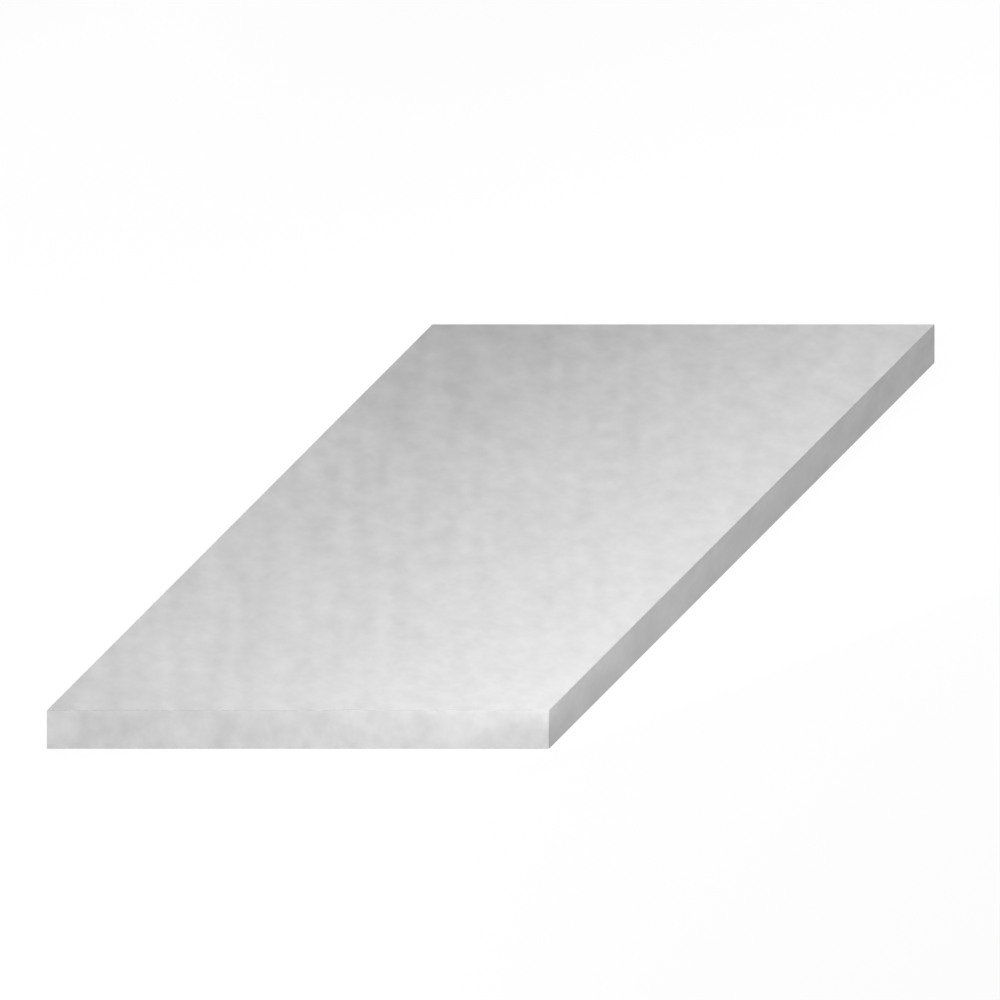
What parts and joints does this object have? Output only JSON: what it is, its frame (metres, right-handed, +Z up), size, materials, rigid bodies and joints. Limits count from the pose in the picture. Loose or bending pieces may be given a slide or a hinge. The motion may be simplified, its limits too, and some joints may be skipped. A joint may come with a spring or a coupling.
{
  "type": "aluminum plate",
  "caption": "Thick rectangular aluminum plate stock, with flat rolled faces, square sawn sides and small eased edges.",
  "frame": {"origin": "centre of the rolled face that the plate rests on", "axes": "+X along the front edge, to the right as the picture shows it, +Y away from the front edge along the plate's longer side, +Z up through the thickness"},
  "size_m": [0.3302, 0.3556, 0.0254],
  "materials": {
    "mill_finish": "mill finish: pale grey bare metal, matte to satin, with soft cloudy mottling and faint streaks"
  },
  "bodies": {
    "root": {"aluminum_plate": "mill_finish"}
  },
  "joints": []
}
